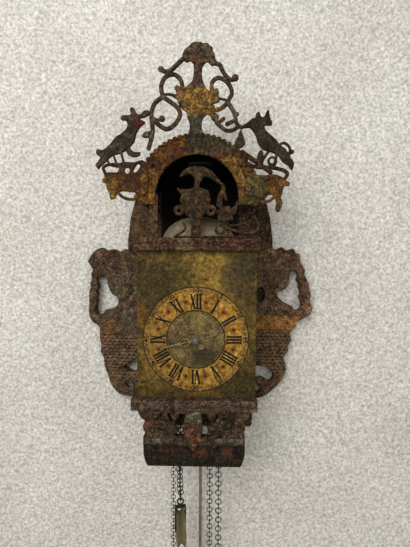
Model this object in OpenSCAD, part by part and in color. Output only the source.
// Frisian bracket clock, hung on one nail through the back board.
// Right-handed frame: X to the right, Y into the wall, Z up.
// The origin is the middle of the nail hole, in the plane of the wall.

/* [Case] */
// Half width of the back board at its shoulders
board_half = 134; // [128:1:140]
// Half width of the back board between the tails
board_waist = 100; // [94:1:104]
// Thickness of the back board
board_t = 12; // [10:1:14]
// Height of the back board's bottom edge
board_low = -505; // [-520:1:-500]
// Radius of the nail hole
nail_r = 4.5; // [3:0.5:6]
// Width of the dial plate
dial_w = 184; // [176:1:188]
// Inner radius of the canopy's arch
arch_in = 62; // [58:1:64]
// Outer radius of the canopy's arch
arch_out = 93; // [88:1:96]

/* [Movement] */
// Height of the hand arbor
hand_z = -306; // [-308:1:-304]
// Thickness of the brass wheels
wheel_t = 2.6; // [2:0.2:3]
// Radius of the bell at its rim
bell_r = 64; // [60:1:66]
// Teeth of the escape wheel
escape_n = 29; // [27:1:33]
// Radius of the pendulum bob
bob_r = 30; // [26:1:34]

/* [Dial] */
// Radius of the alarm disc
alarm_r = 44; // [40:1:46]
// Length of the minute hand
minute_len = 57; // [50:1:60]
// Length of the hour hand
hour_len = 39; // [34:1:42]

/* [Chains] */
// Step from link to link of the weight chain
link_step = 7.75; // [7:0.25:8]
// Step from link to link of the alarm chain
fine_step = 5.8; // [5:0.2:6]
// Height of the lowest link
chain_low = -760; // [-800:5:-740]

/* [Hidden] */
// One square of the drawing grid of the canopy's leadwork, across and up
hood_grid = [1.5, 1.45];
// One square of the drawing grid of the mermaids
maid_grid = [1.84, 1.87];
// One square of the drawing grid of the apron
apron_grid = [1.5, 1.6];
console_x = -3;
shelf_top = -397;
shelf_t = 17;
dial_top = -168;
plate_t = 3;
plate_half = dial_w / 2 - 6;
// Middle of the doors' hinge pins, from the middle of the clock
door_x = plate_half + 3.75;
plate_top_z = -171;
plate_low_z = shelf_top + plate_t;
front_y = -148;
rear_y = -36;
rail_top = -149.5;
arch_z = -88;
arch_y = -162;
door_pin_r = 1.2;
tail_x = 91.8;
bell_y = -85;
roof_r = arch_out - 9;
// Arbor places [x, z] of the going train, seen from the front
great_at = [-1, -351];
centre_at = [-1, hand_z];
third_at = [1, -262];
escape_at = [3, -226];
pallet_at = [3, -196];
work_at = [-1, -284];
// Arbor places of the striking train
strike_at = [-4.5, -351];
pin_at = [-4.5, -306];
warn_at = [-4.5, -262];
fly_at = [-4.5, -226];
hammer_at = [58, -306];
alarm_at = [-45, -214];
// Half of an hour holds this many beats with the train's 80 to 1
beats_per_hour = 2 * 80 * escape_n;
pendulum_len = 9810 * pow(3600 / beats_per_hour / PI, 2);
bob_z = pallet_at[1] - pendulum_len;
rod_y = -25;
chain_y = -125;
rear_chain_y = -75;
drum_r = 37;
rear_drum_r = 25.5;
pulley_at = [-29, -100, -646];
pulley_turn = 12;
fine_y = -139;
fine_r = 8;
iron = [0.2, 0.19, 0.18];
brass = [0.6, 0.5, 0.26];
lead = [0.28, 0.23, 0.19];
gilt = [0.5, 0.34, 0.14];
wood = [0.3, 0.16, 0.11];
dark = [0.16, 0.11, 0.09];

// Drawing helpers

function scaled(p, g) = [for (q = p) [q[0] * g[0], q[1] * g[1]]];
function spline(a, b, c, d, t) = 0.5 * (2 * b + (c - a) * t
    + (2 * a - 5 * b + 4 * c - d) * t * t + (3 * b - a - 3 * c + d) * t * t * t);
function ring_at(p, i) = p[(i + len(p)) % len(p)];
function round_trip(p, n) = [for (i = [0:len(p) - 1]) for (k = [0:n - 1])
    spline(ring_at(p, i - 1), p[i], ring_at(p, i + 1), ring_at(p, i + 2), k / n)];
function open_curve(p, n) = concat([for (i = [0:len(p) - 2]) for (k = [0:n - 1])
    spline(p[max(i - 1, 0)], p[i], p[i + 1], p[min(i + 2, len(p) - 1)], k / n)], [p[len(p) - 1]]);
function unit(v) = v / norm(v);
function heading(q, i) = unit(q[min(i + 1, len(q) - 1)] - q[max(i - 1, 0)]);
function flank(q, w0, w1, s) = [for (i = [0:len(q) - 1]) let (t = heading(q, i), w = w0 + (w1 - w0) * i / (len(q) - 1))
    q[i] + s * w / 2 * [-t[1], t[0]]];
function cap(c, t, r) = [for (a = [-54:36:54]) c + r * [t[0] * cos(a) - t[1] * sin(a), t[0] * sin(a) + t[1] * cos(a)]];
function reversed(p) = [for (i = [len(p) - 1:-1:0]) p[i]];

// Closed outline through grid points, curved
module shape(p, g, n = 2) {
    polygon(round_trip(scaled(p, g), n));
}

// Scroll of lead along grid points, from width w0 to width w1
module scroll(p, w0, w1, g, n = 3) {
    q = open_curve(scaled(p, g), n);
    a = w0 * g[0];
    b = w1 * g[0];
    polygon(concat(reversed(flank(q, a, b, 1)), cap(q[0], -heading(q, 0), a / 2),
        flank(q, a, b, -1), cap(q[len(q) - 1], heading(q, len(q) - 1), b / 2)));
}

// Round knob at a grid point
module knob(p, r, g) {
    translate([p[0] * g[0], p[1] * g[1]]) circle(r * g[0], $fn = 32);
}

// Plate of a flat drawing: its back lies at y, its front at y - t
module plate(y, t) {
    translate([0, y, 0]) rotate([90, 0, 0]) linear_extrude(t) children();
}

// Disc or rod along Y at [x, z], from y0 to y1
module arbor(at, r, y0, y1) {
    translate([at[0], max(y0, y1), at[1]]) rotate([90, 0, 0]) cylinder(r = r, h = abs(y1 - y0), $fn = 48);
}

// Toothed outline: n teeth of module m, with tooth width as a part of the step
function teeth(n, m, w, tip, root, turn) = [for (i = [0:n - 1]) for (k = [[-w, -root], [-w * 0.84, 0],
    [-w * 0.34, tip], [w * 0.34, tip], [w * 0.84, 0], [w, -root]])
    let (a = 360 / n * (i + k[0]) + turn, r = n * m / 2 + k[1] * m) r * [cos(a), sin(a)]];

module wheel(at, n, m, y0, y1, turn = 0) {
    translate([at[0], 0, at[1]]) plate(max(y0, y1), abs(y1 - y0)) polygon(teeth(n, m, 0.23, 0.8, 1.2, turn));
}

module pinion(at, n, m, y0, y1, turn = 0) {
    translate([at[0], 0, at[1]]) plate(max(y0, y1), abs(y1 - y0)) polygon(teeth(n, m, 0.19, 0.65, 1.15, turn));
}

// Four openings between the arms of a wheel
module arms(at, r0, r1, y0, y1) {
    difference() {
        arbor(at, r1, y0 + 1, y1 - 1);
        arbor(at, r0, y0 + 2, y1 - 2);
        for (a = [45, 135]) translate([at[0], (y0 + y1) / 2, at[1]]) rotate([0, a, 0])
            cube([2 * r1 + 2, abs(y1 - y0) + 6, 6], center = true);
    }
}

// Spoked wheel on its arbor's place
module spoked(at, n, m, y, turn = 0) {
    difference() {
        wheel(at, n, m, y, y + wheel_t, turn);
        arms(at, 8, n * m / 2 - 6, y + wheel_t, y);
    }
}

function span(a, b) = norm(a - b);
// Module of a pair from its centre distance
function pair_m(a, b, n1, n2) = 2 * span(a, b) / (n1 + n2);
function bearing(a, b) = atan2(b[1] - a[1], b[0] - a[0]);
// Turn of the wheel at b that brings its teeth into the gaps of the wheel at a, whose own turn is ta
function mesh_turn(a, b, na, nb, ta) = bearing(a, b) + 180 - 360 / nb * (0.5 - (bearing(a, b) - ta) * na / 360);

great_m = pair_m(great_at, centre_at, 60, 10);
centre_m = pair_m(centre_at, third_at, 64, 8);
third_m = pair_m(third_at, escape_at, 60, 6);
strike_m = pair_m(strike_at, pin_at, 60, 10);
warn_m = pair_m(pin_at, warn_at, 64, 8);
fly_m = pair_m(warn_at, fly_at, 60, 6);
work_m1 = pair_m(centre_at, work_at, 12, 36);
work_m2 = pair_m(centre_at, work_at, 10, 40);
centre_turn = mesh_turn(great_at, centre_at, 60, 10, 0);
third_turn = mesh_turn(centre_at, third_at, 64, 8, centre_turn);
escape_turn = mesh_turn(third_at, escape_at, 60, 6, third_turn);
work_turn = mesh_turn(centre_at, work_at, 12, 36, centre_turn);
hour_turn = mesh_turn(work_at, centre_at, 10, 40, work_turn);
pin_turn = mesh_turn(strike_at, pin_at, 60, 10, 0);
warn_turn = mesh_turn(pin_at, warn_at, 64, 8, pin_turn);
fly_turn = mesh_turn(warn_at, fly_at, 60, 6, warn_turn);

// One round link of wire, flat in the XZ plane, with play to its neighbours
module link(step, wire) {
    rotate([90, 0, 0]) rotate_extrude($fn = 32) translate([(step + wire + 0.15) / 2, 0]) circle(d = wire, $fn = 16);
}

module heavy_link() {
    link(link_step, 1.5);
}

module fine_link() {
    link(fine_step, 1);
}

// Straight run of links from a up to b, where another link waits; the number of links is even
module strand(a, b, step, spin = 0) {
    v = b - a;
    n = 2 * ceil(norm(v) / step / 2);
    tilt = acos(v[2] / norm(v));
    round_way = atan2(v[1], v[0]);
    for (i = [0:n - 1]) translate(a + v * i / n) rotate([0, tilt, round_way])
        rotate([0, 0, spin - round_way + 90 * (i % 2)]) children();
}

// Links over the top of a drum: the turn from link to link, and how many there are up to the left side
function link_turn(step, r) = 2 * asin(step / 2 / r);
function top_links(step, r) = 2 * floor(90 / link_turn(step, r));
function left_end(at, y, r, step) = let (a = link_turn(step, r) * top_links(step, r))
    [at[0] + r * cos(a), y, at[1] + r * sin(a)];

module over_drum(at, y, r, step) {
    for (i = [0:top_links(step, r)]) translate([at[0], y, at[1]]) rotate([0, -i * link_turn(step, r), 0])
        translate([r, 0, 0]) rotate([0, 0, 90 * (i % 2)]) children();
}

// Back board and what hangs on it

module board_outline() {
    half = [[0, 24], [38, 20], [74, 4], [100, -24], [118, -70], [129, -110], [board_half, -150],
        [board_half, -262], [126, -290], [110, -318], [board_waist, -345], [board_waist, -500], [board_waist - 4, board_low]];
    polygon(concat(half, [for (i = [len(half) - 1:-1:1]) [-half[i][0], half[i][1]]]));
}

module back_board() {
    color(wood) difference() {
        plate(0, board_t) board_outline();
        arbor([0, 0], nail_r, 1, -20);
        translate([-91, 0, -120]) rotate([90, 0, 0]) translate([0, 0, -1]) linear_extrude(20)
            square([6, 20], center = true);
    }
}

module hanger_plate() {
    color(iron) difference() {
        plate(-board_t, 2) difference() {
            square([44, 34], center = true);
            for (s = [-1, 1]) translate([s * 16, 0]) circle(1.6, $fn = 24);
        }
        arbor([0, 0], nail_r, 1, -20);
    }
}

module maid(outline, holes) {
    difference() {
        shape(outline, maid_grid);
        for (h = holes) shape(h, maid_grid);
    }
}

module mermaid_left() {
    // Grid points: squares left of the middle, squares above the tail's foot
    outline = [[66, 144], [70.5, 147], [75, 148.5], [80, 146], [83.5, 147.5], [88, 148.5], [93, 147],
        [96.5, 149.5], [100.5, 149.5], [107, 146], [112, 139], [113, 136], [110, 131.5], [108, 127.5],
        [110, 124.5], [109, 119.5], [111, 115], [110.5, 111], [112, 107], [112.5, 98], [112, 94], [113, 88],
        [112, 80.5], [108.5, 75], [102, 70.5], [102, 59], [100.5, 51], [101.5, 45.5], [98, 39], [97.5, 31],
        [94, 22], [92, 14.5], [86.5, 6], [78.5, 0.5], [64, 0], [57, 2], [51, 12], [50, 40], [50, 80],
        [50, 120], [56, 138]];
    arm = [[103, 118], [99.5, 120.5], [93.5, 120], [93.5, 115], [91, 107], [88, 103], [83, 100.5], [82.5, 96],
        [84, 92], [89.5, 89], [95.5, 88], [98, 84], [103, 84], [104, 92], [102.5, 96], [103.5, 100.5],
        [102, 103], [103, 107.5], [101, 111.5]];
    fin = [[76, 31], [70, 35], [65, 38.5], [64, 27], [70, 26.5]];
    tail = [[75, 14.5], [67.5, 11.5], [72.5, 8.5]];
    color(wood) translate([0, 0, -446]) plate(-board_t, 10) mirror([1, 0]) maid(outline, [arm, fin, tail]);
}

module mermaid_right() {
    // Grid points: squares right of the middle, squares above the tail's foot
    outline = [[64, 149], [70.5, 151.5], [75.5, 148.5], [81.5, 151.5], [86, 148], [93, 150], [95.5, 145.5],
        [99.5, 144.5], [100.5, 137], [105, 129], [104.5, 124.5], [107.5, 119], [109.5, 113.5], [110, 109],
        [111.5, 103.5], [110.5, 99.5], [113, 90.5], [112, 87], [108.5, 83], [96.5, 76.5], [97.5, 73.5],
        [91.5, 66], [93, 59], [89.5, 53.5], [90, 48], [85.5, 42], [87, 36], [88, 30.5], [87, 25], [82, 16],
        [73, 7], [64.5, 1], [57.5, 0], [51, 6], [50, 36], [50, 80], [50, 120], [56, 142]];
    arm = [[90.5, 127], [95.5, 127], [97.5, 122.5], [96, 119], [99, 114], [98.5, 111], [100.5, 107],
        [99, 102], [101, 97.5], [100.5, 91], [95, 88.5], [93, 93], [86, 96], [80.5, 100], [77, 106],
        [83.5, 108.5], [88, 113], [89.5, 120]];
    side = [[57, 109], [62, 111.5], [65, 106], [64, 99.5], [58, 98.5]];
    fin = [[56.5, 32.5], [67.5, 32], [72.5, 28], [74.5, 23], [72.5, 19], [69.5, 17.5], [63, 21.5], [57, 21]];
    tail = [[56.5, 13.5], [59.5, 12.5], [62.5, 9], [59.5, 6.5], [56.5, 7]];
    color(wood) translate([0, 0, -446]) plate(-board_t, 10) maid(outline, [arm, side, fin, tail]);
}

// Canopy

module on_hood(y, t) {
    translate([1, 0, 1]) plate(y, t) children();
}

module canopy_front() {
    beads = 34;
    color(gilt) translate([0, 0, arch_z]) plate(arch_y + 4, 4) difference() {
        union() {
            intersection() {
                circle(arch_out - 1.5, $fn = 96);
                translate([-arch_out, -12]) square([2 * arch_out, arch_out + 20]);
            }
            for (i = [0:beads]) rotate(i * 180 / beads) translate([arch_out - 3, 0]) circle(4.2, $fn = 20);
        }
        circle(arch_in, $fn = 96);
        translate([-arch_in, -20]) square([2 * arch_in, 20]);
        for (a = [12, 34, 146, 168]) rotate(a) translate([arch_out - 14, 0]) circle(1.3, $fn = 16);
    }
}

module canopy_roof() {
    color(wood) difference() {
        translate([0, -board_t, arch_z]) rotate([90, 0, 0]) linear_extrude(-arch_y - 4 - board_t) difference() {
            union() {
                circle(roof_r, $fn = 96);
                for (s = [-1, 1]) translate([s * (roof_r - 3), -6]) square([6, 12], center = true);
            }
            circle(roof_r - 6, $fn = 96);
            translate([-roof_r - 1, -roof_r - 13]) square([2 * roof_r + 2, roof_r + 1]);
        }
        // Room for the hanger plate and the nail
        translate([-24, -26, -22]) cube([48, 15, arch_z + roof_r + 23]);
    }
}

module canopy_post() {
    // It stands on the rail and is nailed to the back of the arch
    color(gilt) translate([22 - arch_out, arch_y + 4, rail_top]) cube([12, 4, arch_z - rail_top + 4]);
}

module crest_fret() {
    g = hood_grid;
    body = [[2, 94], [5, 92.5], [9, 93], [11.5, 90.5], [14.5, 88.5], [14.5, 85.5], [16.5, 82], [17, 78],
        [18, 73.5], [14.5, 70], [12, 71.5], [9.5, 74], [7, 72.5], [4.5, 69], [4, 61], [5, 56], [7, 50.5],
        [10.5, 46], [15, 46.5], [19, 48.5], [21, 44], [20.5, 41], [22, 37.5], [20.5, 34], [15.5, 32.5],
        [17, 29.5], [14, 24.5], [9, 21.5], [5, 17.5], [4, 12.5], [4.5, 6.5], [8, -1], [10, -6], [-13, -6],
        [-11, -1], [-8.5, 6.5], [-8, 12.5], [-10.5, 19], [-11, 24], [-15, 27], [-19.5, 33], [-20.5, 37],
        [-25.5, 40], [-21.5, 42.5], [-22, 46], [-23.5, 49], [-21, 51.5], [-17, 49.5], [-14, 48.5], [-8, 53],
        [-5, 57], [-4.5, 62], [-4, 67], [-4.5, 72], [-7.5, 75], [-10.5, 73.5], [-13, 75], [-14.5, 77],
        [-15.5, 81.5], [-13, 86.5], [-11, 88.5], [-8, 91], [-5, 93.5]];
    color(lead) on_hood(arch_y + 7.5, 3.5) difference() {
        union() {
            shape(body, g);
            scroll([[-13, 79], [-20.5, 72], [-27, 66], [-33, 65], [-36, 67.5]], 4.6, 4.4, g);
            knob([-36.5, 67.5], 3, g);
            scroll([[-15, 47], [-16.5, 55.5], [-21, 61], [-26.5, 62], [-32.5, 59], [-36, 52], [-36, 46],
                [-34, 40], [-27.5, 35], [-21, 30], [-18, 25], [-18, 20], [-21, 14.5], [-26, 9.5], [-31, 7.5],
                [-37, 10.5], [-43, 16]], 4.3, 4.6, g);
            scroll([[-34, 42], [-29, 42.5], [-22, 41]], 2.6, 2.6, g);
            scroll([[-34, 40], [-38, 37.5], [-42.5, 33.5], [-45.5, 27], [-46, 20], [-45, 10], [-45, 4],
                [-46.5, -3], [-49, -12]], 4.4, 4.4, g);
            scroll([[-45, 19], [-40, 16.5], [-35.5, 18]], 3.6, 3.6, g);
            knob([-35.5, 18], 3.2, g);
            shape([[-45, 0], [-51.5, -1.5], [-55.5, 0], [-54.5, 3], [-50.5, 5.5], [-44, 5]], g);
            scroll([[14, 73.5], [21, 71.5], [24, 66], [27, 61], [32.5, 56.5], [36.5, 58]], 4.6, 4, g);
            knob([36.5, 58.5], 3.6, g);
            scroll([[14, 46], [13.5, 52.5], [16.5, 57], [21.5, 58.5], [28, 55], [32, 49.5], [33.5, 43.5],
                [31, 37.5], [27.5, 32], [22.5, 28], [15, 26]], 4.2, 4.2, g);
            scroll([[18, 39], [24, 37.5], [30, 36]], 2.4, 2.4, g);
            scroll([[29, 35], [33, 29], [36.5, 22.5], [37.5, 16], [40, 11], [44, 9]], 4.4, 3.6, g);
            knob([39, 22.5], 2, g);
            knob([17, 19.5], 4, g);
            scroll([[12, 23], [17, 19], [19, 13.5], [23.5, 9.5], [28.5, 6], [35, 6.5], [40, 10]], 4, 4, g);
            scroll([[19, 13], [22, 15], [25.5, 18]], 3.2, 4, g);
            scroll([[38, 17], [33, 14.5], [29, 12.5]], 3.6, 4.4, g);
            shape([[42.5, 8], [39.5, 0], [36.5, -6], [37, -11], [42, -12], [46.5, -9], [47, -5], [44, 4]], g);
        }
        translate([-1, arch_z - 1]) circle(roof_r + 0.4, $fn = 96);
    }
}

module bird_left() {
    g = hood_grid;
    body = [[-102, -29], [-99, -34], [-97, -31.5], [-91.5, -26.5], [-84.5, -20], [-76, -18], [-71.5, -15],
        [-69, -19.5], [-62.5, -21.5], [-57.5, -20], [-57, -16], [-62.5, -16], [-67, -11.5], [-62.5, -6],
        [-60.5, 2.5], [-55.5, 10], [-51.5, 13], [-54, 15.5], [-57.5, 17.5], [-53, 18], [-49, 20], [-46, 23.5],
        [-48.5, 25.5], [-53, 25.5], [-56, 22], [-60, 22.5], [-62.5, 27.5], [-65.5, 29], [-67, 26],
        [-66, 22.5], [-68, 21], [-74, 21], [-76.5, 18.5], [-75, 15.5], [-71.5, 15.5], [-69.5, 12], [-71, 7],
        [-76, 2.5], [-81.5, -1], [-86.5, -7.5], [-94, -14], [-98.5, -13], [-101, -14.5], [-100.5, -18.5],
        [-97, -21.5], [-100, -26.5]];
    color(lead) on_hood(arch_y + 4, 4) union() {
        shape(body, g);
        scroll([[-90, -24], [-86.5, -29.5], [-79.5, -31]], 2, 2, g);
        scroll([[-83.5, -20], [-80, -30]], 2.2, 2.2, g);
        scroll([[-76, -17], [-73, -29]], 2.4, 2.4, g);
    }
}

module bird_right() {
    g = hood_grid;
    body = [[43, 9.5], [48.5, 13], [53.5, 17.5], [56.5, 18], [57, 22], [60.5, 24], [62, 19.5], [65, 19],
        [67, 23.5], [68.7, 26], [70, 25], [71, 18], [73.3, 13.5], [72.3, 10], [66, 10], [67.7, 5], [73.3, 0],
        [78.2, -4.7], [81.7, -9.6], [86.5, -12.5], [89.4, -17.3], [92.2, -22.2], [95.4, -27.2], [93.3, -34.9],
        [89.4, -30], [83.8, -26.5], [79.6, -20.1], [72.6, -16.6], [64.2, -13.8], [59.3, -7.5], [57.9, -1.9],
        [54.3, 4.4], [50.8, 7.9], [46.6, 7.6]];
    color(lead) on_hood(arch_y + 4, 4) union() {
        shape(body, g);
        scroll([[80.5, -9], [84.5, -7], [88.5, -9], [91, -13], [90.5, -19]], 2.6, 2.6, g);
        knob([93, -16], 2.2, g);
        scroll([[70.5, -15], [67, -20], [64, -25]], 2.6, 2.8, g);
        scroll([[78, -19], [77, -24], [76, -29]], 2.6, 2.8, g);
    }
}

module ear_left() {
    g = hood_grid;
    body = [[-92, -38], [-92.5, -42.5], [-95, -44.5], [-94, -47.5], [-91, -49], [-90, -54.5], [-88, -57],
        [-87, -63.5], [-85.5, -65], [-81.5, -63.5], [-80, -59.5], [-74.5, -56.5], [-65.5, -57.5], [-61, -58],
        [-57, -61], [-50, -60], [-48.5, -50], [-49, -36], [-52, -26], [-57, -25], [-62.5, -27], [-71, -26.5],
        [-77.5, -28], [-79.5, -30], [-77.5, -33], [-79.5, -37], [-87, -37]];
    color(gilt) on_hood(arch_y, 3.5) difference() {
        union() {
            shape(body, g);
            scroll([[-77, -29.5], [-84, -29], [-90, -30], [-93.5, -33], [-91, -39]], 3, 3, g);
            scroll([[-79, -58], [-74, -62.5], [-68, -64.5], [-62, -64], [-57, -60]], 3, 3, g);
        }
        knob([-69.5, -35.6], 2.6, g);
        shape([[-59.4, -29], [-56.6, -31], [-60.5, -37], [-63.4, -36]], g);
    }
}

module ear_right() {
    g = hood_grid;
    body = [[50, -38], [58, -39.5], [66, -40], [74, -39], [80, -40], [84, -42], [86.5, -45], [91, -47],
        [90.5, -51], [85.5, -51], [84, -58], [82.5, -63], [84.5, -68], [82, -75], [79.5, -77.5], [77, -74],
        [78, -67.5], [76, -62.5], [74, -60], [69.8, -60], [67.5, -63], [60.7, -63], [55, -61], [50, -59],
        [46.5, -50]];
    color(gilt) on_hood(arch_y, 3.5) union() {
        shape(body, g);
        scroll([[44, -17], [49.5, -21], [58.5, -27], [66.5, -33], [72, -37]], 5, 4.4, g);
        scroll([[46, -27], [52, -30], [60, -32], [68.5, -32], [77.5, -33], [85.5, -35.5], [88.5, -39],
            [85, -45]], 3.6, 3.8, g);
        shape([[58.5, -27], [59, -19], [62, -14.5], [64.5, -17], [65, -28]], g);
        scroll([[47, -20], [46, -30], [48, -40]], 5, 5, g);
        scroll([[48, -58], [57, -65], [65.5, -67], [72.5, -65], [77.5, -60]], 3, 3, g);
        difference() {
            knob([73.5, -26], 5, g);
            knob([73.5, -25.5], 2.4, g);
        }
    }
}

module petals(at, r, n, g) {
    translate([at[0] * g[0], at[1] * g[1]]) {
        circle(r * g[0] * 0.78, $fn = 32);
        for (i = [0:n - 1]) rotate(i * 360 / n + 12) translate([r * g[0] * 0.68, 0]) circle(r * g[0] * 0.34, $fn = 20);
    }
}

module front_fret() {
    g = hood_grid;
    crescent = [[-18, -40], [-13.5, -33.5], [-5.5, -30], [2, -30], [10, -32], [15.5, -36], [21.5, -43],
        [26.5, -50], [21, -48], [14, -43], [9, -41], [5, -42], [3.5, -46], [-2.5, -46], [-3.5, -42],
        [-8, -38], [-16, -40.5]];
    vase = [[-20.5, -52], [-19, -56], [-16, -59], [-18, -64.5], [-15, -71.5], [-11.5, -80], [-6.5, -84],
        [-6.5, -90], [3, -90], [3, -84], [7, -79], [11, -71.5], [13.5, -65], [12, -57], [10, -54], [2, -51.5],
        [3, -44], [-2.5, -44], [-4, -51.5], [-13, -53.5]];
    color(lead) on_hood(-154, 3.5) union() {
        shape(crescent, g);
        shape(vase, g);
        translate([-9.8, -150.4]) square([14.3, 30]);
        for (x = [-18.5, 13.5]) difference() {
            knob([x, -75], 5.5, g);
            knob([x, -75.5], 1.7, g);
        }
        petals([28, -79], 9, 7, g);
        shape([[33, -74], [37, -71], [40, -65], [40, -74], [36, -80]], g);
        shape([[19, -69], [20.3, -60], [24.2, -53.2], [28, -56], [30.4, -63.8], [27.5, -65], [25, -61],
            [25, -71], [21, -72]], g);
        scroll([[25, -49], [26, -55]], 4, 4, g);
        scroll([[28, -84], [30, -93], [29, -101]], 4, 4, g);
        difference() {
            knob([23, -94.5], 6, g);
            knob([23, -94.5], 3, g);
        }
        scroll([[32, -94], [43, -97.5], [52, -98.5], [58.5, -97], [61, -91], [58, -83]], 3, 2.6, g);
        scroll([[32, -91], [40, -90], [48, -88], [58, -86]], 2.6, 2.4, g);
        scroll([[-21, -101], [-14.5, -97], [-12, -93], [-14, -88.5]], 2.6, 2.4, g);
        translate([-36, rail_top - 0.9]) square([128, 3.4]);
    }
}

module fret_rail() {
    color(wood) translate([-95, -162, dial_top]) difference() {
        cube([190, 12, rail_top - dial_top]);
        translate([-1, -1, 9]) cube([192, 2.5, 3]);
    }
}

// Console under the movement

module shelf_board() {
    color(wood) difference() {
        translate([console_x - 97, -168, shelf_top - shelf_t]) cube([194, 168 - board_t, shelf_t]);
        translate([-50, -146, shelf_top - shelf_t - 1]) cube([100, 88, shelf_t + 2]);
        translate([-20, -36, shelf_top - shelf_t - 1]) cube([46, 22, shelf_t + 2]);
        translate([console_x - 98, -169, shelf_top - 12]) cube([196, 2, 3]);
        tail_notches();
    }
}

// Corners cut out for the tails of the side boards
module tail_notches() {
    for (s = [-1, 1]) translate([s > 0 ? tail_x : -tail_x - 12, -22.2, shelf_top - 25]) cube([12, 12, 30]);
}

// Half width of the moulded body against height
console_profile = [[94, -414], [87, -416], [85, -423], [83, -427], [75.5, -434], [78, -437], [79.5, -441],
    [79, -446], [76.5, -451], [76, -459]];

module moulded() {
    polygon(concat(console_profile, [for (i = [len(console_profile) - 1:-1:0])
        [-console_profile[i][0], console_profile[i][1]]]));
}

// Wire pin at the side of the console, or the hole it sits in
module console_pin(s, r) {
    translate([console_x + s * 75, -120, -452]) rotate([0, s * 42, 0]) cylinder(r = r, h = 15, $fn = 16);
}

module console_body() {
    front = [for (p = console_profile) [-160 - (p[0] - 79) * 0.22, p[1]]];
    color(wood) difference() {
        translate([console_x, 0, 0]) intersection() {
            plate(-board_t, 160) moulded();
            translate([-100, 0, 0]) rotate([90, 0, 90]) linear_extrude(200)
                polygon(concat(front, [[-board_t, -459], [-board_t, -414]]));
        }
        translate([console_x - 64, -150, -460]) cube([128, 150 - board_t + 1, 50]);
        translate([console_x - 44, -180, -457]) cube([88, 60, 39]);
        for (s = [-1, 1]) console_pin(s, 0.9);
        tail_notches();
    }
}

module base_block() {
    face = [[79, -468], [79, -486], [76.5, -496], [72.5, -505]];
    color(dark) translate([console_x, 0, 0]) difference() {
        union() {
            plate(-board_t, 148) polygon(concat(face, [for (i = [3:-1:0]) [-face[i][0], face[i][1]]]));
            translate([-79, -161.5, -469]) cube([158, 161.5 - board_t, 10]);
        }
        translate([-62, -150, -510]) cube([124, 150 - board_t + 1, 60]);
    }
}

module apron_fret() {
    g = apron_grid;
    bud = [[-6, 3], [-9.5, -7], [-11, -17], [-10, -25], [-7, -31], [-4.5, -36.5], [-1, -39.5], [2.5, -36.5],
        [5, -31], [8, -25], [9, -17], [8, -7], [5, 3]];
    color(lead) translate([console_x, 0, shelf_top - shelf_t]) plate(-164, 4) intersection() {
        union() {
            shape(bud, g);
            for (s = [0, 1]) translate([-1.5, 0]) mirror([s, 0]) {
                scroll([[8, -29], [16, -27.5], [23, -24.5], [29, -21.5], [37, -19.5]], 5, 3.2, g);
                scroll([[13, -27], [19, -31], [22, -33.5]], 5, 6, g);
                petals([22, -17], 7.5, 7, g);
                scroll([[30, 3], [27.5, -7], [23, -14]], 5, 5, g);
                shape([[41, -12], [37, -16.5], [28, -18], [26, -11], [35, -8.5]], g);
                shape([[23.5, 3], [23, -6], [19, -10], [15, -6], [14, 3]], g);
                shape([[44, 3], [43, -6], [38, -8], [33, -2], [33, 3]], g);
            }
            translate([-70, -4]) square([143, 5]);
        }
        translate([-100, -80]) square([200, 80]);
    }
}

// Movement frame

module frame_plate(z) {
    difference() {
        translate([-plate_half, front_y, z - plate_t]) cube([2 * plate_half, rear_y - front_y, plate_t]);
        children();
    }
}

module top_plate() {
    color(iron) difference() {
        union() {
            frame_plate(dial_top) {
                translate([62, -65, -175]) cube([22, 10, 10]);
                translate([alarm_at[0], fine_y, -175]) cylinder(r = 2.05, h = 10, $fn = 32);
            }
            // Cheeks of the alarm work, riveted under the plate
            for (y = [-147.5, -130]) translate([alarm_at[0] - 8, y, alarm_at[1] - 8])
                cube([16, 1.5, dial_top - 1 - alarm_at[1] + 8]);
        }
        arbor(alarm_at, 1.55, -149, -120);
    }
}

module bottom_plate() {
    color(iron) frame_plate(plate_low_z) translate([-50, -146, -400]) cube([100, 88, 10]);
}

module corner_posts() {
    tall = plate_top_z - plate_low_z;
    color(brass) for (x = [7 - plate_half, plate_half - 7], y = [-141, -43]) translate([x, y, plate_low_z]) {
        cylinder(r = 4.5, h = tall, $fn = 32);
        for (z = [0, tall - 8]) translate([0, 0, z]) cylinder(r = 6.4, h = 8, $fn = 32);
        for (z = [30, tall - 36]) translate([0, 0, z]) cylinder(r = 5.8, h = 6, $fn = 32);
    }
}

module bar(x, y, holes) {
    difference() {
        union() {
            translate([x - 12, y, plate_low_z]) cube([24, 3, plate_top_z - plate_low_z]);
            children();
        }
        for (h = holes) arbor([h[0], h[1]], h[2], y - 1, y + 4);
    }
}

module front_bar() {
    color(brass) union() {
        bar(0, -136, [[great_at[0], great_at[1], 2.05], [centre_at[0], centre_at[1], 2.05],
            [third_at[0], third_at[1], 1.05], [escape_at[0], escape_at[1], 1.05],
            [pallet_at[0], pallet_at[1], 1.05]]);
        // Stud of the motion work, riveted into the bar
        arbor(work_at, 1.5, -147, -135);
        arbor(work_at, 3, -136.9, -135);
        arbor(work_at, 2.4, -147.8, -146.2);
    }
}

module middle_bar() {
    color(brass) bar(0, -92, [[great_at[0], great_at[1], 1.55], [strike_at[0], strike_at[1], 1.55],
        [centre_at[0], centre_at[1], 1.05], [pin_at[0], pin_at[1], 1.05], [third_at[0], third_at[1], 1.05],
        [warn_at[0], warn_at[1], 1.05], [escape_at[0], escape_at[1], 1.05], [fly_at[0], fly_at[1], 1.05],
        [pallet_at[0], pallet_at[1], 1.7], [hammer_at[0], hammer_at[1], 1.55]])
        translate([8, -92, hammer_at[1] - 7]) cube([58, 3, 14]);
}

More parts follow.
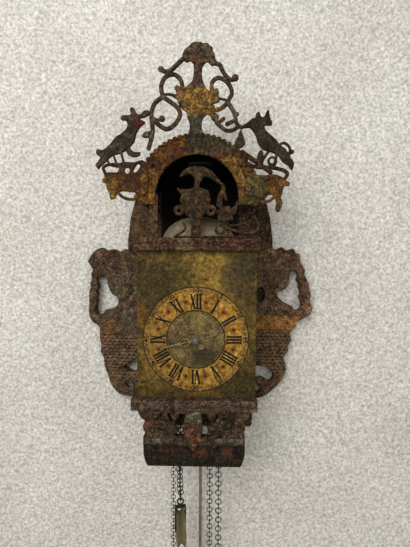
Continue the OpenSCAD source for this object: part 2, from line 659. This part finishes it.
module rear_bar() {
    color(brass) bar(0, -46, [[strike_at[0], strike_at[1], 2.05], [pin_at[0], pin_at[1], 1.05],
        [warn_at[0], warn_at[1], 1.05], [fly_at[0], fly_at[1], 1.05], [pallet_at[0], pallet_at[1], 1.55],
        [hammer_at[0], hammer_at[1], 1.55]])
        translate([8, -46, hammer_at[1] - 7]) cube([58, 3, 14]);
}

module dial_plate() {
    color(gilt) difference() {
        translate([-dial_w / 2, -152, shelf_top]) cube([dial_w, 2, dial_top - shelf_top]);
        arbor(centre_at, 5.5, -149, -153);
        arbor([14, -213], 1.5, -149, -153);
    }
}

module side_door(s) {
    color(gilt) difference() {
        union() {
            translate([s * door_x - 1.25, -149, -392]) cube([2.5, 104, 218]);
            translate([s * door_x, -42, -392]) cylinder(r = 2.4, h = 218, $fn = 32);
            translate([s * door_x - 1.25, -46, -392]) cube([2.5, 4, 218]);
        }
        translate([s * door_x, -42, -400]) cylinder(r = door_pin_r + 0.05, h = 240, $fn = 32);
    }
}

module side_door_left() {
    side_door(-1);
}

module side_door_right() {
    side_door(1);
}

// Ears on the plates that carry the door pins, and the two wire pins of the console
module wire_pins() {
    color(iron) {
        for (s = [-1, 1]) console_pin(s, 0.88);
        for (s = [-1, 1]) translate([s * door_x, -42, 0]) {
            translate([0, 0, dial_top - 16]) cylinder(r = door_pin_r, h = 17, $fn = 32);
            translate([s > 0 ? -14 : -3, -3, dial_top]) cube([17, 6, 1.5]);
            translate([0, 0, -396.9]) cylinder(r = door_pin_r, h = 20.4, $fn = 32);
            translate([s > 0 ? plate_half - door_x : -3, -3, -396.9]) cube([door_x + 3 - plate_half, 6, 1.5]);
        }
    }
}

// Bell

module bell() {
    outside = [[5, 44], [16, 43.3], [28, 40.5], [40, 35], [50, 27], [57.5, 16], [62, 6], [bell_r, 0]];
    n = len(outside) - 1;
    thick = 3;
    color([0.62, 0.6, 0.5]) translate([0, bell_y, -158]) rotate_extrude($fn = 96)
        polygon(concat([[3.2, 44]], outside, [[bell_r - thick, 0]],
            [for (i = [n - 1:-1:0]) outside[i] - [i > 1 ? thick * 0.75 : 0, thick * 0.8]],
            [[3.2, 44 - thick * 0.8]]));
}

module bell_stand() {
    color(iron) translate([0, bell_y, dial_top]) {
        cylinder(r = 8, h = 3, $fn = 32);
        cylinder(r = 5, h = 10 + 44 - 2.4, $fn = 32);
        cylinder(r = 3.15, h = 62, $fn = 32);
        translate([0, 0, 54.1]) cylinder(r = 6, h = 4.4, $fn = 6);
    }
}

// Going train

// Ring-shaped groove in a chain drum
module groove(at, r, y, deep) {
    translate([at[0], y, at[1]]) rotate([90, 0, 0]) rotate_extrude($fn = 72) translate([r, 0]) circle(deep, $fn = 32);
}

module great_wheel() {
    y = chain_y + 7;
    color(brass) difference() {
        union() {
            spoked(great_at, 60, great_m, y);
            difference() {
                arbor(great_at, drum_r - 1.5, y + 0.5, y - 14);
                arbor(great_at, drum_r - 10, y + 2, y - 15);
            }
            arbor(great_at, 9, y - 14, y);
            for (a = [45, 135]) translate([great_at[0], y - 7, great_at[1]]) rotate([0, a, 0])
                cube([2 * drum_r - 16, 12, 6], center = true);
            arbor(great_at, 4, -132, -93);
            arbor(great_at, 2, -136, -132);
            arbor(great_at, 1.5, -93, -90.6);
        }
        groove(great_at, drum_r, chain_y, 6.1);
    }
}

module centre_wheel() {
    color(brass) union() {
        pinion(centre_at, 10, great_m, -118.4, -113, centre_turn);
        spoked(centre_at, 64, centre_m, -108, centre_turn);
        arbor(centre_at, 3, -132, -93);
        arbor(centre_at, 2, -162, -132);
        arbor(centre_at, 1, -93, -90.6);
    }
}

module third_wheel() {
    color(brass) union() {
        pinion(third_at, 8, centre_m, -110, -103, third_turn);
        spoked(third_at, 60, third_m, -128, third_turn);
        arbor(third_at, 2.4, -132, -93);
        arbor(third_at, 1, -136, -90.6);
    }
}

module escape_wheel() {
    n = escape_n;
    hooked = [for (i = [0:n - 1]) for (k = [[0, 17.4], [0.08, 21], [0.2, 20.6], [0.5, 17.6]])
        let (a = 360 / n * (i + k[0])) k[1] * [cos(a), sin(a)]];
    color(brass) union() {
        translate([escape_at[0], -113, escape_at[1]]) plate(0, 2) difference() {
            polygon(hooked);
            difference() {
                circle(14, $fn = 48);
                circle(5, $fn = 32);
                for (a = [0, 90]) rotate(a) square([40, 4], center = true);
            }
        }
        pinion(escape_at, 6, third_m, -130, -123, escape_turn);
        arbor(escape_at, 1.7, -132, -93);
        arbor(escape_at, 1, -136, -90.6);
    }
}

module pallets() {
    anchor = [[-4, 5], [4, 5], [14, -2], [20, -11], [21.5, -17], [17.8, -15.6], [15, -9], [8, -4], [0, -3.5],
        [-8, -4], [-15, -9], [-17.8, -15.6], [-21.5, -17], [-20, -11], [-14, -2]];
    color(iron) union() {
        translate([pallet_at[0], -112, pallet_at[1]]) plate(0, 4) polygon(anchor);
        arbor(pallet_at, 1.6, -133, -90);
        arbor(pallet_at, 1, -136, -133);
        arbor(pallet_at, 1.5, -90, -32);
        translate([pallet_at[0] - 3, -35, pallet_at[1] - 96]) cube([6, 3, 100]);
        for (s = [-1, 1]) translate([pallet_at[0] + s * 5.2 - 1, -35, pallet_at[1] - 100]) cube([2, 16, 6]);
        translate([pallet_at[0] - 6.2, -35, pallet_at[1] - 100]) cube([12.4, 3, 6]);
    }
}

// Motion work behind the dial

module cannon_pinion() {
    color(brass) difference() {
        union() {
            pinion(centre_at, 12, work_m1, -140.6, -137, centre_turn);
            arbor(centre_at, 3, -158.4, -137);
        }
        arbor(centre_at, 2.03, -165, -130);
    }
}

module minute_wheel() {
    color(brass) difference() {
        union() {
            wheel(work_at, 36, work_m1, -140.2, -137.6, work_turn);
            pinion(work_at, 10, work_m2, -146, -140.2, work_turn);
        }
        arbor(work_at, 1.55, -150, -130);
    }
}

module hour_wheel() {
    color(brass) difference() {
        union() {
            wheel(centre_at, 40, work_m2, -145, -142.6, hour_turn);
            arbor(centre_at, 4.6, -156.4, -142.6);
        }
        arbor(centre_at, 3.06, -160, -140);
    }
}

// Hands and alarm disc in front of the dial

module alarm_disc() {
    color(brass) difference() {
        union() {
            arbor(centre_at, alarm_r, -152.4, -153.6);
            arbor(centre_at, 8, -152.4, -154.4);
        }
        arbor(centre_at, 4.66, -150, -160);
    }
}

// Pierced leaf hand along +X of its own drawing
module hand_outline(long) {
    difference() {
        union() {
            circle(7.4, $fn = 32);
            polygon(round_trip([[5, 2.6], [9, 2.8], [14, 6.5], [21, 6.8], [26, 2.6], [long * 0.72, 1.6],
                [long, 0.5], [long, -0.5], [long * 0.72, -1.6], [26, -2.6], [21, -6.8], [14, -6.5], [9, -2.8],
                [5, -2.6]], 2));
        }
        for (s = [-1, 1]) polygon(round_trip([[12, s * 1.2], [15, s * 4.6], [20, s * 4.8], [23.5, s * 1.4],
            [18, s * 1]], 2));
    }
}

module hour_hand() {
    color(brass) difference() {
        translate([centre_at[0], -154.6, centre_at[1]]) plate(0, 1.4) union() {
            rotate(14.5) hand_outline(hour_len);
            rotate(-52) translate([6.5, 0]) polygon([[0, -2], [9, -5], [13, 0], [9, 5], [0, 2]]);
        }
        arbor(centre_at, 4.62, -150, -160);
    }
}

module minute_hand() {
    color(brass) difference() {
        translate([centre_at[0], -156.8, centre_at[1]]) plate(0, 1.4) rotate(194) hand_outline(minute_len);
        arbor(centre_at, 3.02, -150, -160);
    }
}

module hand_nut() {
    dome = [[0, 6], [2.3, 5.5], [4.2, 4.3], [5.5, 2.4], [6, 0], [5.7, -1.8], [0, -1.8]];
    color([0.4, 0.39, 0.36]) difference() {
        translate([centre_at[0], -160.4, centre_at[1]]) rotate([90, 0, 0]) rotate_extrude($fn = 48) polygon(dome);
        arbor(centre_at, 2.03, -155, -162.2);
    }
}

// Striking train

module strike_great_wheel() {
    y = rear_chain_y + 7;
    color(brass) difference() {
        union() {
            spoked(strike_at, 60, strike_m, y);
            arbor(strike_at, rear_drum_r - 1.5, y + 0.5, y - 14);
            arbor(strike_at, 4, -88, -47);
            arbor(strike_at, 1.5, -90.4, -88);
            arbor(strike_at, 2, -47, -37);
        }
        groove(strike_at, rear_drum_r, rear_chain_y, 6.1);
    }
}

module count_wheel() {
    // The gaps between the notches grow by one blow each, 78 blows in the round
    function blows(n) = n * (n + 1) / 2;
    color(brass) translate([strike_at[0], -39, strike_at[1]]) plate(0, 2.2) difference() {
        circle(34, $fn = 96);
        circle(2.02, $fn = 32);
        for (n = [1:12]) rotate(360 / 78 * blows(n)) translate([33, 0]) square([7, 1.6], center = true);
        for (a = [0:90:270]) rotate(a + 20) translate([18, 0]) circle(7, $fn = 32);
    }
}

module pin_wheel() {
    pins = 13;
    color(brass) union() {
        pinion(pin_at, 10, strike_m, -69, -63, pin_turn);
        spoked(pin_at, 64, warn_m, -56, pin_turn);
        for (i = [0:pins - 1]) arbor(pin_at + 36 * [cos(i * 360 / pins + 9), sin(i * 360 / pins + 9)], 1.2, -62, -56);
        arbor(pin_at, 2.6, -88, -47);
        arbor(pin_at, 1, -90.4, -43.6);
    }
}

module warning_wheel() {
    color(brass) union() {
        pinion(warn_at, 8, warn_m, -58, -51, warn_turn);
        spoked(warn_at, 60, fly_m, -78, warn_turn);
        arbor(warn_at, 2.4, -88, -47);
        arbor(warn_at, 1, -90.4, -43.6);
    }
}

module fly() {
    color(brass) union() {
        pinion(fly_at, 6, fly_m, -80, -73, fly_turn);
        arbor(fly_at, 1.7, -88, -47);
        arbor(fly_at, 1, -90.4, -43.6);
        arbor(fly_at, 3, -71, -51);
        translate([fly_at[0] - 23, -70, fly_at[1] - 0.6]) cube([46, 18, 1.2]);
    }
}

module hammer() {
    y = -62;
    reach = [[hammer_at[0] - 2, hammer_at[1]], [hammer_at[0] + 2, hammer_at[1]], [70, -180], [77, -166],
        [77, -156], [73, -156], [73, -164], [66, -180]];
    color(iron) union() {
        arbor(hammer_at, 3, -88, -48);
        arbor(hammer_at, 1.5, -91.4, -43.6);
        plate(y + 4, 4) polygon(reach);
        translate([hammer_at[0] - 24.5, y, hammer_at[1] - 2]) cube([24, 4, 4]);
        arbor([75, -151], 7, y - 3, y + 7);
    }
}

// Alarm

module alarm_wheel() {
    n = 15;
    saw = [for (i = [0:n - 1]) for (k = [[0, 12], [0.1, 16], [0.25, 15.6], [0.6, 12.2]])
        let (a = 360 / n * (i + k[0])) k[1] * [cos(a), sin(a)]];
    color(brass) difference() {
        union() {
            translate([alarm_at[0], -132.5, alarm_at[1]]) plate(0, 2) polygon(saw);
            arbor(alarm_at, fine_r + 1, -145, -133);
            arbor(alarm_at, 1.5, -147.4, -128.6);
        }
        groove(alarm_at, fine_r, fine_y, 4.2);
    }
}

module alarm_hammer() {
    head = [-6.8, 5.9, -150];
    color(iron) translate([alarm_at[0], fine_y, 0]) union() {
        translate([0, 0, -196]) cylinder(r = 2, h = 48, $fn = 32);
        translate([0, 0, head[2]]) rotate([0, 90, bearing([0, 0], head)]) cylinder(r = 1.2, h = 9, $fn = 16);
        translate(head) sphere(2.6, $fn = 24);
    }
}

// Pendulum

module suspension_cock() {
    color(iron) union() {
        translate([pallet_at[0] - 8, -14, pallet_at[1] - 5]) cube([16, 2, 24]);
        arbor(pallet_at, 1.5, -30, -13);
    }
}

module pendulum_rod() {
    color(iron) difference() {
        union() {
            arbor(pallet_at, 5, rod_y - 2.5, rod_y + 2.5);
            translate([pallet_at[0], rod_y, bob_z - bob_r - 14]) cylinder(r = 2.7, h = pendulum_len + bob_r + 12, $fn = 32);
        }
        arbor(pallet_at, 1.56, -40, -10);
    }
}

module pendulum_bob() {
    color(brass) difference() {
        translate([pallet_at[0], rod_y, bob_z]) rotate([90, 0, 0]) rotate_extrude($fn = 96)
            polygon([[0, -7], [8, -7], [18, -5.6], [25, -3.2], [bob_r, -0.8], [bob_r, 0.8], [25, 3.2], [18, 5.6],
                [8, 7], [0, 7]]);
        translate([pallet_at[0], rod_y, bob_z - bob_r - 5]) cylinder(r = 2.74, h = 2 * bob_r + 10, $fn = 32);
    }
}

module rating_nut() {
    color(brass) translate([pallet_at[0], rod_y, bob_z - bob_r - 8]) difference() {
        cylinder(r = 6.5, h = 5, $fn = 8);
        translate([0, 0, -1]) cylinder(r = 2.74, h = 8, $fn = 32);
    }
}

// Chains

// Height of the links where the two right-hand strands bend inwards
knee = great_at[1] - 46 * link_step;
ring_x = (great_at[0] + drum_r + strike_at[0] + rear_drum_r) / 2;
ring_y = (chain_y + rear_chain_y) / 2;
bight_r = 9;

module weight_chain() {
    front_x = great_at[0] + drum_r;
    rear_x = strike_at[0] + rear_drum_r;
    color(iron) {
        over_drum(great_at, chain_y, drum_r, link_step) heavy_link();
        over_drum(strike_at, rear_chain_y, rear_drum_r, link_step) heavy_link();
        strand([front_x, chain_y, knee], [front_x, chain_y, great_at[1]], link_step) heavy_link();
        strand([rear_x, rear_chain_y, knee], [rear_x, rear_chain_y, strike_at[1]], link_step) heavy_link();
        strand([ring_x, ring_y - bight_r, chain_low], [front_x, chain_y, knee], link_step) heavy_link();
        strand([ring_x, ring_y + bight_r, chain_low], [rear_x, rear_chain_y, knee], link_step) heavy_link();
        for (i = [1:3]) translate([ring_x, ring_y - bight_r * cos(45 * i), chain_low - bight_r * sin(45 * i)])
            rotate([45 * i, 0, 0]) rotate([0, 0, 90 * i]) heavy_link();
    }
}

// The two left-hand strands end in one big link, which the pulley's eye hangs on
module gathered_chain() {
    big_r = 8.5;
    big_z = 57;
    side = 6;
    top = big_z + sqrt(big_r * big_r - side * side) + 2.4;
    color(iron) {
        on_pulley() translate([0, 0, big_z]) rotate([90, 0, 90]) rotate_extrude($fn = 48)
            translate([big_r, 0]) circle(1, $fn = 16);
        gathered_strand(left_end(great_at, chain_y, drum_r, link_step), side, top);
        gathered_strand(left_end(strike_at, rear_chain_y, rear_drum_r, link_step), -side, top);
    }
}

// Straight down past the drum, then slanting to the big link
module gathered_strand(end, side, top) {
    bend = end - [0, 0, 8 * link_step];
    strand(bend, end, link_step) heavy_link();
    strand(pulley_at + [side * sin(pulley_turn), -side * cos(pulley_turn), top], bend, link_step, pulley_turn)
        heavy_link();
}

module alarm_chain() {
    end = left_end(alarm_at, fine_y, fine_r, fine_step);
    color(iron) {
        strand([alarm_at[0] + fine_r, fine_y, chain_low + 10], [alarm_at[0] + fine_r, fine_y, alarm_at[1]], fine_step)
            fine_link();
        over_drum(alarm_at, fine_y, fine_r, fine_step) fine_link();
        strand(end - [0, 0, 6 * fine_step], end, fine_step) fine_link();
    }
}

module counter_ring() {
    // The bight of the chain goes through it, under its top
    color([0.36, 0.36, 0.37]) translate([ring_x, ring_y, chain_low - 17]) rotate([90, 0, 0])
        rotate_extrude($fn = 48) translate([17, 0]) circle(3, $fn = 24);
}

module on_pulley() {
    translate(pulley_at) rotate([0, 0, pulley_turn]) children();
}

module pulley_sheave() {
    color(brass) on_pulley() rotate([0, 90, 0]) rotate_extrude($fn = 96)
        polygon([[2.06, -7], [26, -7], [31, -6.4], [24, 0], [31, 6.4], [26, 7], [2.06, 7]]);
}

module pulley_strap() {
    color(iron) on_pulley() union() {
        rotate([0, 90, 0]) translate([0, 0, -10]) cylinder(r = 2, h = 20, $fn = 32);
        for (s = [-1, 1]) translate([s * 8.5 - 1, -4, -6]) cube([2, 8, 44]);
        translate([-9.5, -4, 36]) cube([19, 8, 2]);
        translate([0, 0, 37]) cylinder(r = 1, h = 4, $fn = 24);
        translate([0, 0, 46]) rotate([90, 0, 0]) rotate_extrude($fn = 32) translate([5, 0]) circle(1.4, $fn = 16);
    }
}

back_board();
hanger_plate();
mermaid_left();
mermaid_right();
canopy_front();
canopy_roof();
canopy_post();
crest_fret();
bird_left();
bird_right();
ear_left();
ear_right();
front_fret();
fret_rail();
shelf_board();
console_body();
base_block();
apron_fret();
wire_pins();
top_plate();
bottom_plate();
corner_posts();
front_bar();
middle_bar();
rear_bar();
dial_plate();
side_door_left();
side_door_right();
bell();
bell_stand();
great_wheel();
centre_wheel();
third_wheel();
escape_wheel();
pallets();
cannon_pinion();
minute_wheel();
hour_wheel();
alarm_disc();
hour_hand();
minute_hand();
hand_nut();
strike_great_wheel();
count_wheel();
pin_wheel();
warning_wheel();
fly();
hammer();
alarm_wheel();
alarm_hammer();
suspension_cock();
pendulum_rod();
pendulum_bob();
rating_nut();
weight_chain();
gathered_chain();
alarm_chain();
counter_ring();
pulley_sheave();
pulley_strap();
